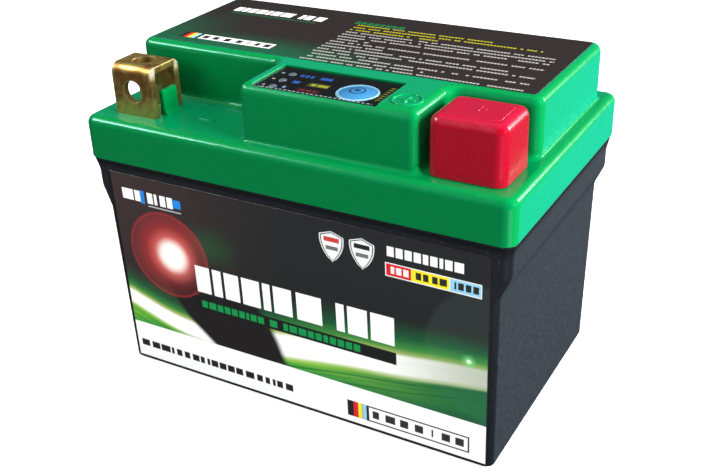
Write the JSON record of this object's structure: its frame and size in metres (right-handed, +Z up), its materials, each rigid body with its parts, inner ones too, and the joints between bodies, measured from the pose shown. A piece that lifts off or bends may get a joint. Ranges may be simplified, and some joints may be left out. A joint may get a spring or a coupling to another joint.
{
  "type": "motorcycle battery",
  "caption": "Small sealed lithium starter battery: black tapered case, green stepped lid, bent-strip terminals, lift-off red cap over the positive one, push-to-test panel.",
  "frame": {"origin": "centre of the underside of the case, on the surface it stands on", "axes": "+X along the long front face towards the positive terminal, +Y from the labelled front to the back, +Z up"},
  "size_m": [0.113, 0.07, 0.085],
  "materials": {
    "case_plastic": "fine moulded grain",
    "lid_plastic": "glossy moulded",
    "sealant": "matt",
    "front_film": "printed gloss film",
    "top_film": "printed satin film",
    "panel_film": "printed gloss film",
    "button_plastic": "glossy",
    "lamp_lens": "diffuse lens",
    "circuit_board": "solder mask",
    "black_component": "moulded",
    "plunger_plastic": "moulded",
    "screw_steel": "zinc plated",
    "grey_wire": "ribbon",
    "terminal_brass": "yellow passivated",
    "red_cap": "soft glossy",
    "rivet_brass": "bright",
    "copper_bar": "bare copper",
    "cell_sleeve": "shrink sleeve",
    "holder_plastic": "moulded",
    "nickel_strip": "nickel plated",
    "barley_paper": "insulating paper",
    "spreader_aluminium": "extruded",
    "connector_plastic": "moulded",
    "red_wire": "insulated",
    "foam": "closed cell foam"
  },
  "bodies": {
    "battery": {"case": "case_plastic", "lid": "lid_plastic", "lid_seal": "sealant", "front_label": "front_film", "top_label": "top_film", "test_panel": "panel_film", "indicator_lamps": "lamp_lens", "test_board": "circuit_board", "test_switch": "black_component", "test_board_screws": "screw_steel", "test_cable": "grey_wire", "negative_terminal": "terminal_brass", "positive_terminal": "terminal_brass", "terminal_rivets": "rivet_brass", "negative_bus_bar": "copper_bar", "positive_bus_bar": "copper_bar", "cell_front_low": "cell_sleeve", "cell_front_high": "cell_sleeve", "cell_back_high": "cell_sleeve", "cell_back_low": "cell_sleeve", "cell_holder_left": "holder_plastic", "cell_holder_right": "holder_plastic", "link_front": "nickel_strip", "link_bottom": "nickel_strip", "link_back": "nickel_strip", "pack_negative_tab": "nickel_strip", "pack_positive_tab": "nickel_strip", "insulation_sheet": "barley_paper", "bms_board": "circuit_board", "bms_transistors": "black_component", "balance_resistors": "black_component", "heat_spreader": "spreader_aluminium", "balance_connector": "connector_plastic", "balance_wires": "red_wire", "bms_screws": "screw_steel", "base_foam": "foam", "end_foam_left": "foam", "end_foam_right": "foam"},
    "cap": {"positive_cap": "red_cap"},
    "button": {"test_button": "button_plastic"},
    "plunger": {"switch_plunger": "plunger_plastic"}
  },
  "joints": [
    {"name": "cap_lift", "type": "slide", "parent": "battery", "child": "cap", "axis": [0, 0, 1], "range_m": [0, 0.03]},
    {"name": "button_press", "type": "slide", "parent": "battery", "child": "button", "axis": [0, 0, -1], "range_m": [0, 0.0005], "stiffness_N_per_m": 800},
    {"name": "plunger_press", "type": "slide", "parent": "battery", "child": "plunger", "axis": [0, 0, -1], "range_m": [0, 0.0005], "stiffness_N_per_m": 800}
  ],
  "couplings": [
    {"joint": "plunger_press", "follows": "button_press", "ratio": 1}
  ]
}
